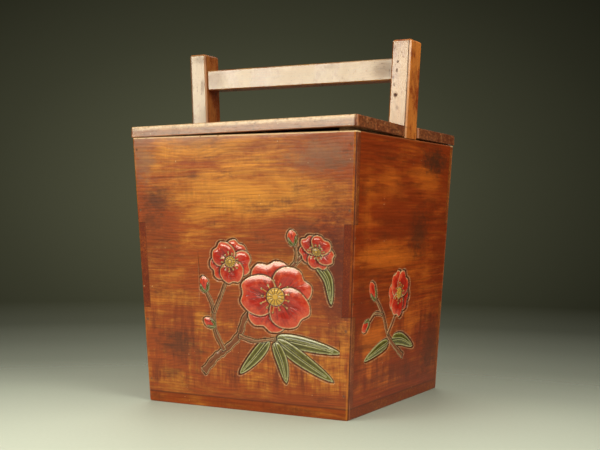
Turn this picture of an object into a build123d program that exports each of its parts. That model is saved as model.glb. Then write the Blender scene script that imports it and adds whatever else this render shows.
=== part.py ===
from build123d import *
import math
import os

# Tea charcoal box in the form of a square well bucket.
# Four leaning boards stand on a base board and are joined at the corners by three
# pegged fingers. Two posts are half lapped over the side boards and hold a crossbar
# to carry the box by. The lid is split along the line of the crossbar, so that each
# half lifts out past the fixed handle.
# X runs to the right along the crossbar, Y to the back and Z up. The origin is the
# middle of the underside. All sizes are in millimetres.

os.makedirs("parts", exist_ok=True)

# Driving dimensions of the box
top_width = 242.0  # outside, at the rim
bottom_width = 216.0  # outside, at the floor
rim_height = 257.3
base_thickness = 10.0
wall = 9.0  # thickness of the wall boards, measured level
finger_count = 3
worn_corner = 2.5  # rounding of the four upright corners
worn_edge = 1.0  # small rounding or chamfer of the other edges
rim_chamfer = 0.9

# Driving dimensions of the handle
post_width = 19.5  # along X
post_depth = 27.0  # along Y
post_proud = 1.2  # of the outside of the wall
post_top = 352.0
post_chamfer = 1.6
leg_length = 110.0  # inner half of the post, lapped down the inside of the wall
bar_bottom = 314.0
bar_height = 20.8
bar_depth = 20.0
tenon_length = 11.0
tenon_height = 12.0
tenon_depth = 9.0
mortise_room = 0.5  # glue space behind the end of the tenon

# Driving dimensions of the lid
lid_thickness = 10.2
lid_overhang = 1.0
lid_corner = 2.5  # rounding of the upright corners
lid_round = 0.6  # rounding of the edges all round
lid_split = 0.4  # gap between the two halves
notch_room = 0.8  # beside the posts
front_notch_room = 0.3  # the front half fits close against the posts
back_notch_room = 5.3  # the back half was cut with more room
front_lifted_corner = 3.9  # how far the front right corner of the lid has warped up
front_lifted_split = 1.0  # the same at the right end of the split
back_lifted_corner = 0.7  # the same of the back half, at its back right corner
back_lifted_split = 2.0  # and at its right end of the split
cleat_width = 10.0
cleat_height = 7.0
cleat_to_wall = 4.0  # room that lets a half tip out past the rim
cleat_to_post = 2.5

# Driving dimensions of the pegs
peg_radius = 1.4  # to the corners of the whittled sides
peg_sides = 8
peg_play = 0.03  # between a peg and its hole, round the side
peg_sink = 0.2  # of the heads below the surface
corner_peg_length = 20.0
corner_peg_inset = 12.0  # from the end of a finger
base_peg_length = 24.0
base_peg_spread = 70.0
leg_peg_length = 14.0
leg_peg_drops = (30.0, 85.0)  # below the rim
cleat_peg_length = 12.0
cleat_peg_inset = 18.0

# Values that follow from them
lean = (top_width - bottom_width) / 2 / rim_height
lean_angle = math.degrees(math.atan(lean))
wall_height = rim_height - base_thickness
finger_levels = [base_thickness + wall_height * i / finger_count for i in range(finger_count + 1)]
bar_middle = bar_bottom + bar_height / 2
lid_reach = top_width / 2 + lid_overhang
cleat_near = post_depth / 2 + cleat_to_post
cleat_far = top_width / 2 - wall - cleat_to_wall
cleat_middle = cleat_far - cleat_width / 2
beyond = top_width  # longer than any board, for cuts that pass right through


def reach(height):
    """Distance from the middle to the outside of a wall at a height."""
    return bottom_width / 2 + lean * height


def post_outside(height):
    """Distance from the middle to the outside of a post at a height."""
    return reach(height) + post_proud


def post_inside(height):
    """Distance from the middle to the inside of a post at a height."""
    return post_outside(height) - post_width


def wall_section(low, high):
    """Corners of the section of a leaning wall between two heights."""
    return [
        (reach(low) - wall, low),
        (reach(low), low),
        (reach(high), high),
        (reach(high) - wall, high),
    ]


def face_plane(facing, along=0.0, height=0.0):
    """Plane on the outside of the wall that faces (x, y), at a point along the wall."""
    x, y = facing
    origin = (
        x * reach(height) + abs(y) * along,
        y * reach(height) + abs(x) * along,
        height,
    )
    return Plane(origin=origin, z_dir=(x, y, -lean))


def on_upright_corner(edge):
    """True for an edge that runs up one of the outside corners of the box."""
    point = edge.center()
    miss = abs(abs(point.X) - reach(point.Z)) + abs(abs(point.Y) - reach(point.Z))
    return miss < 0.01


def on_rim_outside(edge):
    """True for an edge round the outside of the top of the walls."""
    point = edge.center()
    outward = max(abs(point.X), abs(point.Y))
    return abs(point.Z - rim_height) < 0.01 and outward > reach(rim_height) - worn_corner


def on_post_arris(edge):
    """True for an edge that runs up one of the four corners of the right post."""
    point = edge.center()
    inward = post_outside(point.Z) - point.X
    at_side = min(abs(inward), abs(inward - post_width)) < 0.01
    return at_side and abs(abs(point.Y) - post_depth / 2) < 0.01


def save(builder, name):
    """Label a finished piece and write it to its own file."""
    builder.part.label = name
    export_step(builder.part, f"parts/{name}.step")


# Pegs of the finger joints. The outer fingers belong to the front and back boards, and
# are pegged from the front and back. The middle finger is pegged from the side.
def corner_peg_planes(x_side, y_side):
    """Planes on the outer faces where the pegs of one corner go in."""
    planes = []
    for finger in range(finger_count):
        low, high = finger_levels[finger], finger_levels[finger + 1]
        for height in (low + corner_peg_inset, high - corner_peg_inset):
            over_edge = reach(height) - wall / 2
            if finger % 2 == 0:
                planes.append(face_plane((0, y_side), x_side * over_edge, height))
            else:
                planes.append(face_plane((x_side, 0), y_side * over_edge, height))
    return planes


def base_peg_planes():
    """Planes on the underside where the pegs go up into the walls."""
    middle = reach(base_thickness) - wall / 2
    places = []
    for side in (-middle, middle):
        for along in (-base_peg_spread, 0, base_peg_spread):
            places.append((side, along, 0))
            places.append((along, side, 0))
    return [Plane(origin=place, z_dir=(0, 0, -1)) for place in places]


def leg_peg_planes(x_side):
    """Planes on the inside of a post's leg where its pegs go out into the wall."""
    planes = []
    for drop in leg_peg_drops:
        height = rim_height - drop
        origin = (x_side * post_inside(height), 0, height)
        planes.append(Plane(origin=origin, z_dir=(-x_side, 0, lean)))
    return planes


def pegs(planes, length):
    """A group of whittled pegs, their heads just under the planes and their ends a length below."""
    with BuildPart() as group:
        with BuildSketch(*[plane.offset(-peg_sink) for plane in planes]):
            RegularPolygon(peg_radius, peg_sides)
        extrude(amount=peg_sink - length)
    return group


def bore_peg_holes(planes, length):
    """Cut the holes of a group of pegs out of the piece that is being made."""
    with BuildSketch(*planes) as outlines:
        RegularPolygon(peg_radius + peg_play, peg_sides)
    extrude(outlines.sketch, amount=-length, mode=Mode.SUBTRACT)


# Front and back boards. Each leans out with the taper, reaches right to the corners
# with its top and bottom fingers, and leaves the middle third to the side boards.
with BuildPart() as front_board:
    with BuildSketch(Plane.YZ):
        Polygon(*[(-out, up) for out, up in wall_section(base_thickness, rim_height)], align=None)
    extrude(amount=beyond, both=True)
    for x_side in (-1, 1):
        split(bisect_by=face_plane((x_side, 0)), keep=Keep.BOTTOM)
    with BuildSketch(Plane.XZ):
        Polygon(*wall_section(finger_levels[1], finger_levels[2]), align=None)
        mirror(about=Plane.YZ)
    extrude(amount=beyond, both=True, mode=Mode.SUBTRACT)
    fillet(front_board.edges().filter_by(on_upright_corner), worn_corner)
    chamfer(front_board.edges().filter_by(on_rim_outside), rim_chamfer)
    bore_peg_holes(corner_peg_planes(-1, -1) + corner_peg_planes(1, -1), corner_peg_length)
    bore_peg_holes(base_peg_planes(), base_peg_length)
save(front_board, "front_board")

with BuildPart() as back_board:
    mirror(front_board.part, about=Plane.XZ)
save(back_board, "back_board")

# Side boards. Only the middle finger reaches the corners. The pegs of the post's leg
# end in blind holes in the inside face.
with BuildPart() as right_board:
    with BuildSketch(Plane.XZ):
        Polygon(*wall_section(base_thickness, rim_height), align=None)
    extrude(amount=beyond, both=True)
    for y_side in (-1, 1):
        split(bisect_by=face_plane((0, y_side)), keep=Keep.BOTTOM)
    with BuildSketch(Plane.YZ):
        for low, high in zip(finger_levels[0::2], finger_levels[1::2]):
            Polygon(*wall_section(low, high), align=None)
        mirror(about=Plane.YZ)
    extrude(amount=beyond, both=True, mode=Mode.SUBTRACT)
    fillet(right_board.edges().filter_by(on_upright_corner), worn_corner)
    chamfer(right_board.edges().filter_by(on_rim_outside), rim_chamfer)
    bore_peg_holes(corner_peg_planes(1, -1) + corner_peg_planes(1, 1), corner_peg_length)
    bore_peg_holes(base_peg_planes(), base_peg_length)
    bore_peg_holes(leg_peg_planes(1), leg_peg_length)
save(right_board, "right_board")

with BuildPart() as left_board:
    mirror(right_board.part, about=Plane.YZ)
save(left_board, "left_board")

# Base board. The walls stand on it, and its edges carry their taper on to the floor.
with BuildPart() as base_board:
    with BuildSketch():
        Rectangle(bottom_width, bottom_width)
    extrude(amount=base_thickness, taper=-lean_angle)
    fillet(base_board.edges().filter_by(on_upright_corner), worn_corner)
    chamfer(base_board.faces().sort_by(Axis.Z)[0].edges(), worn_edge)
    bore_peg_holes(base_peg_planes(), base_peg_length)
save(base_board, "base_board")

# Posts. Above the rim a post has its full width, and stands a little proud of the
# outside of the wall. Below the rim its outer half is cut away, and its inner half
# runs down the inside of the wall as a leg.
with BuildPart() as right_post:
    leg_bottom = rim_height - leg_length
    with BuildSketch(Plane.XZ):
        Polygon(
            (post_outside(rim_height), rim_height),
            (post_outside(post_top), post_top),
            (post_inside(post_top), post_top),
            (post_inside(leg_bottom), leg_bottom),
            (reach(leg_bottom) - wall, leg_bottom),
            (reach(rim_height) - wall, rim_height),
            align=None,
        )
    extrude(amount=post_depth / 2, both=True)
    arrises = right_post.edges().filter_by(on_post_arris)
    chamfer(arrises + right_post.faces().sort_by(Axis.Z)[-1].edges(), post_chamfer)
    with BuildSketch(Plane.YZ):
        with Locations((0, bar_middle)):
            Rectangle(tenon_depth, tenon_height)
    extrude(amount=post_inside(bar_middle) + tenon_length + mortise_room, mode=Mode.SUBTRACT)
    bore_peg_holes(leg_peg_planes(1), leg_peg_length)
save(right_post, "right_post")

with BuildPart() as left_post:
    mirror(right_post.part, about=Plane.YZ)
save(left_post, "left_post")

# Crossbar. Its shoulders follow the lean of the posts, and a blind tenon at each end
# enters the mortise in the post.
with BuildPart() as crossbar:
    bar_top = bar_bottom + bar_height
    with BuildSketch(Plane.XZ):
        Polygon(
            (-post_inside(bar_bottom), bar_bottom),
            (post_inside(bar_bottom), bar_bottom),
            (post_inside(bar_top), bar_top),
            (-post_inside(bar_top), bar_top),
            align=None,
        )
    extrude(amount=bar_depth / 2, both=True)
    chamfer(crossbar.edges().filter_by(Axis.X), worn_edge)
    with BuildSketch(Plane.YZ):
        with Locations((0, bar_middle)):
            Rectangle(tenon_depth, tenon_height)
    extrude(amount=post_inside(bar_middle) + tenon_length, both=True)
save(crossbar, "crossbar")


# Lid. Each half is one board, with a notch at both ends of the split for the posts.
def lid_underside(x, y):
    """Height of the underside of the lid: both halves have warped up at the right."""
    along = (x + lid_reach) / (2 * lid_reach)
    across = abs(y) / lid_reach
    if y < 0:
        at_split, at_corner = front_lifted_split, front_lifted_corner
    else:
        at_split, at_corner = back_lifted_split, back_lifted_corner
    return rim_height + along * (at_split + (at_corner - at_split) * across)


def lid_section(x, near, far, below, above):
    """Corners of the section at x of a board that follows the underside of the lid."""
    return [
        (near, lid_underside(x, near) + below),
        (far, lid_underside(x, far) + below),
        (far, lid_underside(x, far) + above),
        (near, lid_underside(x, near) + above),
    ]


def at_lid_end(edge):
    """True for an edge at the left or right end of the lid."""
    return abs(edge.center().X) > lid_reach - 0.01


def in_notch(edge):
    """True for an edge at the inner side of a notch, where the lid passes the post."""
    return abs(abs(edge.center().X) - (post_inside(rim_height) - notch_room)) < 0.01


def lid_half(y_side, notch_reach):
    """Half of the lid, in front of the split (-1) or behind it (1)."""
    near, far = y_side * lid_split / 2, y_side * lid_reach
    notch_length = lid_reach - post_inside(rim_height) + notch_room
    with BuildPart() as half:
        for x in (-lid_reach, lid_reach):
            with BuildSketch(Plane.YZ.offset(x)):
                Polygon(*lid_section(x, near, far, 0, lid_thickness), align=None)
        loft(ruled=True)
        with BuildSketch(Plane.XY.offset(rim_height)):
            with Locations((-lid_reach, 0), (lid_reach, 0)):
                Rectangle(2 * notch_length, 2 * notch_reach)
        extrude(amount=2 * lid_thickness, mode=Mode.SUBTRACT)
        fillet(half.edges().filter_by(Axis.Z).filter_by(at_lid_end), lid_corner)
        fillet(half.edges().filter_by(Axis.Z).filter_by(in_notch), worn_edge)
        fillet(half.faces().sort_by(SortBy.AREA)[-2:].edges(), lid_round)
        for x_side in (-1, 1):
            bore_peg_holes(cleat_peg_planes(x_side, y_side), cleat_peg_length)
    return half


def cleat_peg_planes(x_side, y_side):
    """Planes on the underside of a cleat where its pegs go up into the lid."""
    planes = []
    for along in (cleat_near + cleat_peg_inset, cleat_far - cleat_peg_inset):
        x, y = x_side * cleat_middle, y_side * along
        planes.append(Plane(origin=(x, y, lid_underside(x, y) - cleat_height), z_dir=(0, 0, -1)))
    return planes


def cleat(x_side, y_side):
    """One cleat, under an end of a lid half and clear of the walls and the post."""
    near, far = y_side * cleat_near, y_side * cleat_far
    with BuildPart() as strip:
        for inset in (-cleat_width / 2, cleat_width / 2):
            x = x_side * (cleat_middle + inset)
            with BuildSketch(Plane.YZ.offset(x)):
                Polygon(*lid_section(x, near, far, -cleat_height, 0), align=None)
        loft(ruled=True)
        bore_peg_holes(cleat_peg_planes(x_side, y_side), cleat_peg_length)
    return strip


save(lid_half(-1, post_depth / 2 + front_notch_room), "front_lid")
save(lid_half(1, post_depth / 2 + back_notch_room), "back_lid")
for y_side, half_name in ((-1, "front"), (1, "back")):
    half_peg_planes = []
    for x_side, end_name in ((-1, "left"), (1, "right")):
        save(cleat(x_side, y_side), f"{half_name}_lid_{end_name}_cleat")
        half_peg_planes += cleat_peg_planes(x_side, y_side)
        save(
            pegs(corner_peg_planes(x_side, y_side), corner_peg_length),
            f"{half_name}_{end_name}_corner_pegs",
        )
    save(pegs(half_peg_planes, cleat_peg_length), f"{half_name}_cleat_pegs")

# Pegs of the base board and of the two legs
save(pegs(base_peg_planes(), base_peg_length), "base_pegs")
save(pegs(leg_peg_planes(-1), leg_peg_length), "left_leg_pegs")
save(pegs(leg_peg_planes(1), leg_peg_length), "right_leg_pegs")
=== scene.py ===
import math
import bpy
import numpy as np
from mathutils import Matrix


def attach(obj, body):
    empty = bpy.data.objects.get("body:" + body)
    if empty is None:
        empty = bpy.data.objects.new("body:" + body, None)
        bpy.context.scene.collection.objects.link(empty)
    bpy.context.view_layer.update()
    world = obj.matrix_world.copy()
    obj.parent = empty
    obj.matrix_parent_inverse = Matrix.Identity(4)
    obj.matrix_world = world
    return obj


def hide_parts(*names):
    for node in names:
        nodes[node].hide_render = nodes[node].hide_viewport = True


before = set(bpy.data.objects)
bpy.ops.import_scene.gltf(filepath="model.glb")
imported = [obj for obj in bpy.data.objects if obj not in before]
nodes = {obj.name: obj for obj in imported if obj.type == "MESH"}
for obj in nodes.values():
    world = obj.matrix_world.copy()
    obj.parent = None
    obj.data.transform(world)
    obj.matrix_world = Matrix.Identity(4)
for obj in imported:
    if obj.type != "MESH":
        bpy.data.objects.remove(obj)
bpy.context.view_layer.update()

# %% [markdown]
# # Tea charcoal box
# A square bucket of lacquered softwood, carved on two faces, with a fixed handle and a
# split lid. The joinery is already a CAD model in metres, with the origin in the middle
# of the underside. This notebook gives it light, wood and lacquer, and carves the boards.
#
# The first cell holds the few sizes that several steps share, in millimetres. The walls
# lean outwards, so the outside of the box is a simple function of height.

MM = 0.001
LEAN = 13 / 257.3
FLOOR_REACH = 108
RIM = 257.3
BASE = 10
WALL = 9
FINGER_STEPS = (92.433, 174.867)


def reach(up):
    """Distance from the middle to the outside of a wall at a height."""
    return FLOOR_REACH + LEAN * up


print(len(nodes), "pieces of joinery; the mouth is", 2 * reach(RIM), "mm wide")

# %% [markdown]
# ## Camera
# The photograph was taken from the right of the front, about level with the middle of
# the box and its handle, with a lens of moderate length. The place comes from a fit of
# the box's own edges, so it is written as a place in metres and three turns in degrees.
# The lens is given by how many pixels long it is, which does not depend on a camera
# maker's sizes.

# %% Camera
IMAGE_WIDTH = 600
FOCAL_PIXELS = 1081.8
CAMERA_PLACE = (0.5234, -0.9735, 0.1846)
CAMERA_YAW = 28.2335
CAMERA_PITCH = 0.6187
CAMERA_ROLL = 0.3649

bpy.ops.object.camera_add(
    location=CAMERA_PLACE,
    rotation=(math.radians(90 - CAMERA_PITCH), 0, math.radians(CAMERA_YAW)),
)
camera = bpy.context.object
camera.data.sensor_width = 36
camera.data.lens = FOCAL_PIXELS / IMAGE_WIDTH * camera.data.sensor_width
camera.rotation_euler.rotate_axis("Z", math.radians(CAMERA_ROLL))
scene = bpy.context.scene
scene.camera = camera
scene.view_settings.view_transform = "Standard"
print("lens", round(camera.data.lens, 1), "mm")

# %% [markdown]
# ## A short way to write shader maths
# A wood finish is a long sum of grain, stain and wear. Nodes can be wired one by one, but
# the sum is then hard to read. Here one small class wraps a node's output, so that
# `1 - mask * 0.4` adds the two Math nodes by itself. Every node comes from its method
# `node`, which sets the node's options first and its sockets after.

# %% Node outputs that can be added and multiplied
class Flow:
    """One output of a node, on its way through a material."""

    def __init__(self, tree, socket):
        self.tree = tree
        self.socket = socket

    def node(self, kind, sockets, output=0, stops=None, **settings):
        """Add a node: settings and ramp stops first, then a value or a link for each socket."""
        made = self.tree.nodes.new(kind)
        for name, value in settings.items():
            setattr(made, name, value)
        if stops:
            ramp = made.color_ramp.elements
            while len(ramp) < len(stops):
                ramp.new(1.0)
            for element, (position, tone) in zip(ramp, stops):
                element.position = position
                element.color = (tone, tone, tone, 1)
        for name, value in sockets.items():
            if isinstance(value, Flow):
                self.tree.links.new(value.socket, made.inputs[name])
            else:
                made.inputs[name].default_value = value
        return Flow(self.tree, made.outputs[output])

    def maths(self, operation, *values):
        return self.node("ShaderNodeMath", dict(enumerate(values)), operation=operation)

    def vectors(self, operation, *values, output=0):
        return self.node(
            "ShaderNodeVectorMath", dict(enumerate(values)), output, operation=operation
        )

    def __add__(self, other):
        return self.maths("ADD", self, other)

    def __sub__(self, other):
        return self.maths("SUBTRACT", self, other)

    def __rsub__(self, other):
        return self.maths("SUBTRACT", other, self)

    def __mul__(self, other):
        return self.maths("MULTIPLY", self, other)

    def __truediv__(self, other):
        return self.maths("DIVIDE", self, other)

    def __abs__(self):
        return self.maths("ABSOLUTE", self)

    __radd__ = __add__
    __rmul__ = __mul__


print("node outputs ready")

# %% [markdown]
# ## The words of a finish
# A few verbs are enough for all the finishes. `ease` turns a value into a soft mask,
# `band_of` makes the mask of a stripe, `blend` lays one colour over another through a
# mask, and `noise` gives clouds whose size comes from the place that is handed to it.

# %% Masks, blends and noise
def ease(value, low, high):
    """0 below low, 1 above high and a smooth step between; low may be the larger."""
    return value.node(
        "ShaderNodeMapRange",
        {"Value": value, "From Min": low, "From Max": high},
        interpolation_type="SMOOTHSTEP",
    )


def band_of(value, start, end, soft):
    """1 between start and end, with soft edges outside them."""
    return ease(value, start - soft, start) * ease(value, end + soft, end)


def blend(mask, under, over):
    """Lay one colour over another where the mask is 1."""
    return mask.node(
        "ShaderNodeMix",
        {0: mask, 6: under, 7: over},
        output=2,
        data_type="RGBA",
        clamp_factor=True,
    )


def brighten(colour, factor):
    """Multiply a colour by a number."""
    return colour.node("ShaderNodeVectorMath", {0: colour, "Scale": factor}, operation="SCALE")


def vector(x, y, z):
    """Put three numbers together as a place."""
    first = next(part for part in (x, y, z) if isinstance(part, Flow))
    return first.node("ShaderNodeCombineXYZ", {0: x, 1: y, 2: z})


def noise(place, detail=3.0, roughness=0.5, distortion=0.0):
    """Cloudy noise about 0.5; the place sets its scale."""
    sockets = {"Vector": place, "Scale": 1.0, "Detail": detail, "Roughness": roughness}
    return place.node("ShaderNodeTexNoise", {**sockets, "Distortion": distortion})


def rgb(red, green, blue):
    """A colour from 0 to 255 as it looks on a screen, turned into light."""
    def light(value):
        value /= 255
        return value / 12.92 if value <= 0.04045 else ((value + 0.055) / 1.055) ** 2.4
    return (light(red), light(green), light(blue), 1)


print("masks, blends and noise ready")

# %% [markdown]
# ## A new material
# Every material starts from the place of a point on its own object. The finished pieces
# all have their origin at the frame's origin, so this place is also the place on the box,
# and a stain can be put where it is with plain numbers.

# %% Starting a material and joining its channels
def new_material(name):
    """An empty material: itself, its surface node and the place of a point."""
    material = bpy.data.materials.new(name)
    material.use_nodes = True
    tree = material.node_tree
    coordinates = tree.nodes.new("ShaderNodeTexCoord")
    return material, tree.nodes["Principled BSDF"], Flow(tree, coordinates.outputs["Object"])


def connect(surface, **channels):
    """Link or set sockets of the surface; a name has _ for each space."""
    for name, value in channels.items():
        socket = surface.inputs[name.replace("_", " ")]
        if isinstance(value, Flow):
            value.tree.links.new(value.socket, socket)
        else:
            socket.default_value = value


def split(place):
    """The three coordinates in millimetres."""
    cut = place.node("ShaderNodeSeparateXYZ", {0: place})
    outputs = cut.socket.node.outputs
    return [Flow(place.tree, outputs[i]) * 1000.0 for i in range(3)]


print("materials can be started")

# %% [markdown]
# ## Floor
# The studio floor is a pale grey-green cloth. Only a pool of it is lit, in front of the
# box; behind, it sinks into the dark of the room. A real pool comes from a lamp with a
# shade. Here the cloth itself fades with the distance from the middle of the pool, which
# is easier to fit and gives no hard horizon.

# %% Floor
CLOTH = (rgb(205, 212, 204), rgb(213, 220, 212))
POOL_MIDDLE = (0.15, -0.52, 0.0)
POOL_REACH = 2.0
POOL_STEPS = [
    (0.25, 1.0), (0.38, 0.86), (0.50, 0.68), (0.64, 0.44), (0.80, 0.25), (1.0, 0.14), (1.25, 0.05),
    (1.7, 0.0),
]

bpy.ops.mesh.primitive_circle_add(vertices=96, radius=3.0, fill_type="NGON")
floor = bpy.context.object
floor.name = "studio_floor"
material, surface, place = new_material("studio floor")
from_middle = place.vectors("DISTANCE", place, POOL_MIDDLE, output="Value")
pool = from_middle.node(
    "ShaderNodeValToRGB",
    {"Fac": from_middle / POOL_REACH},
    stops=[(far / POOL_REACH, tone) for far, tone in POOL_STEPS],
)
weave = noise(brighten(place, 300.0), detail=2.0)
connect(surface, Base_Color=blend(weave, *CLOTH), Alpha=pool, Roughness=0.75)
floor.data.materials.append(material)
print("floor with a pool of light", POOL_REACH, "m in reach")

# %% [markdown]
# ## Backdrop
# Behind the floor hangs a dark olive-grey cloth with a faint glow in its middle, which
# sinks away faster upwards than to the sides. The eye, and every mirror, sees that dark;
# the wood itself is lit by a much paler room, as it would be by the walls and the ceiling
# of a studio that never come into the picture. The glow is a matter of direction alone:
# how far a line of sight turns aside from the middle of the glow, and how far it rises.

# %% Backdrop
BACKDROP = rgb(78, 79, 60)
GLOW_ALONG = (0.858, 0.513, 0.0)
GLOW_RISE = 0.021
GLOW_SQUEEZE = 1.6
GLOW_STEPS = [(0.10, 0.95), (0.23, 0.54), (0.29, 0.40), (0.34, 0.29), (0.42, 0.16)]
ROOM_LIGHT = (0.42, 0.41, 0.34, 1)

world = bpy.data.worlds.new("studio room")
scene.world = world
world.use_nodes = True
background = world.node_tree.nodes["Background"]
rays = world.node_tree.nodes.new("ShaderNodeLightPath")
seen = Flow(world.node_tree, rays.outputs["Is Camera Ray"])
mirrored = Flow(world.node_tree, rays.outputs["Is Glossy Ray"])
sight = world.node_tree.nodes.new("ShaderNodeTexCoord")
sight = Flow(world.node_tree, sight.outputs["Generated"])
aside = sight.vectors("DOT_PRODUCT", sight, GLOW_ALONG, output="Value")
rise = sight.vectors("DOT_PRODUCT", sight, (0.0, 0.0, 1.0), output="Value")
rise = (rise - GLOW_RISE) * GLOW_SQUEEZE
off_middle = rise.maths("SQRT", aside * aside + rise * rise)
glow = off_middle.node("ShaderNodeValToRGB", {"Fac": off_middle}, stops=GLOW_STEPS)
wall = blend(glow, (0, 0, 0, 1), BACKDROP)
room = blend(seen.maths("MAXIMUM", seen, mirrored), ROOM_LIGHT, wall)
world.node_tree.links.new(room.socket, background.inputs["Color"])
print("backdrop and room")

# %% [markdown]
# ## Lamps
# The light comes from large soft panels. One stands low in front on the left. Its lower
# edge is just above the top of the handle, so that the upright faces of the posts, the
# bar and the lid's edge catch it, while the boards, which lean the other way, reflect the
# floor and stay deep. The other panels are broader and less bright for their size, and
# keep the remaining sides readable.

# %% Lamps
PANELS = {
    "front_left_panel": {"place": (-0.74, -1.30, 0.50), "size": (0.96, 0.24), "watts": 10.4},
    "right_panel": {"place": (1.55, -0.55, 0.80), "size": (0.8, 0.8), "watts": 16},
    "back_panel": {"place": (-0.80, 1.40, 0.90), "size": (1.0, 0.8), "watts": 9},
    "top_panel": {"place": (0.0, -0.2, 1.60), "size": (1.2, 1.2), "watts": 9.6},
}
AIM = np.array((0.0, 0.0, 0.20))
PANEL_TINT = (1.0, 0.97, 0.77)
for name, panel in PANELS.items():
    bpy.ops.object.light_add(type="AREA", location=panel["place"])
    lamp = bpy.context.object
    lamp.name = name
    lamp.data.shape = "RECTANGLE"
    lamp.data.size, lamp.data.size_y = panel["size"]
    lamp.data.energy = panel["watts"]
    lamp.data.color = PANEL_TINT
    backwards = lamp.location - type(lamp.location)(AIM)
    lamp.rotation_euler = backwards.to_track_quat("Z", "Y").to_euler()
    print(name, panel["watts"], "W")

# %% [markdown]
# ## Grain
# The boards are flat-sawn softwood. A growth ring is a tube round the pith, so the
# distance from a line behind the board, cut into rings, gives straight lines where the
# saw met the rings at a slope and arches where it only grazed them. A little noise makes
# the tubes wander. Fibres are the same noise drawn out along the board: short ones for
# the pores and long ones for the threads that the stain has darkened.

# %% Wood grain
AXES = {"X": 0, "Y": 1, "Z": 2}


def wood_grain(place, axes, pith, ring, seed):
    """Late wood of the rings, fibres, fine fibres and long threads of a board.

    axes names the directions along, across and into the board; pith is where the middle
    of the tree was, across and into the board; ring is the width of a year, in mm."""
    parts = split(place)
    shift = seed * 37.0
    along, across, depth = [parts[AXES[letter]] + shift for letter in axes]
    wander = noise(vector(along * 0.007, across * 0.016, depth * 0.02), detail=2.0) - 0.5
    sideways = across - (pith[0] + shift) + wander * 26.0
    inward = depth - (pith[1] + shift) + wander * 12.0
    square = sideways * sideways + inward * inward
    wobble = noise(vector(along * 0.02, across * 0.25, depth * 0.25), detail=3.0)
    years = square.maths("SQRT", square) / ring + wobble * 0.9
    season = years.maths("FRACT", years)
    late = ease(season, 0.35, 0.88) * ease(season, 1.0, 0.93)
    fibres = noise(vector(along * 0.010, across * 0.55, depth * 0.55), 6.0, 0.68)
    fine = noise(vector(along * 0.045, across * 3.2, depth * 3.2), 3.0, 0.6)
    threads = noise(vector(along * 0.014, across * 0.28, depth * 0.28), 5.0, 0.72, 0.3)
    return late, fibres, fine, threads


print("grain ready for", ", ".join(AXES))

# %% [markdown]
# ## Patches
# Rubbed places, stains and dirt all have the same form: a soft spot with a frayed edge.
# The distance from the middle of the spot, divided by its size, is 1 at its edge, and a
# little brushed noise frays that edge before it is eased into a mask.

# %% Patches
def blotch(place, centre, size, edge, ragged, soft=(1.15, 0.25)):
    """A soft patch at a place in mm; edge is the noise that frays its outline."""
    middle = tuple(c * MM for c in centre)
    scale = tuple(1 / (s * MM) for s in size)
    offset = place.vectors("SUBTRACT", place, middle)
    scaled = place.vectors("MULTIPLY", offset, scale)
    far = place.vectors("LENGTH", scaled, output="Value")
    return ease(far + (edge - 0.5) * ragged, *soft)


print("patches ready")

# %% [markdown]
# ## Lacquered wood
# The boards look stained amber under clear lacquer, and patchy from use: golden as if the
# lacquer were rubbed thin there, red-brown where it is thick, nearly black in old clots.
# So the colour starts from two tones mixed in broad clouds, takes the grain and the dark
# threads, and then upright marks, as of a wiping cloth, in a band above the foot. The
# sides have a darker, redder pair of tones than the front, partly stain and partly painted
# shade. The photograph cannot say how much of each, so the pair was chosen by comparing the
# render with it.

# %% Lacquered wood
AMBER = rgb(212, 134, 44)
RUSSET = rgb(151, 65, 17)
# Darker, redder tones of the sides: partly stain, partly painted shade.
SIDE_AMBER_STAIN_AND_SHADE = rgb(184, 90, 22)
SIDE_RUSSET_STAIN_AND_SHADE = rgb(127, 45, 11)
UMBER = rgb(76, 32, 14)
OXBLOOD = rgb(96, 32, 12)
END_BROWN = rgb(92, 34, 14)
# Rosy tone of wear, also used for painted highlights.
ROSE_WEAR_AND_HIGHLIGHT = rgb(176, 106, 68)
SOOT = rgb(64, 38, 24)
BLOOM = rgb(136, 98, 76)
# Pale tone of wear, also used for painted highlights.
PALE_WEAR_AND_HIGHLIGHT = rgb(238, 200, 152)


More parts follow.
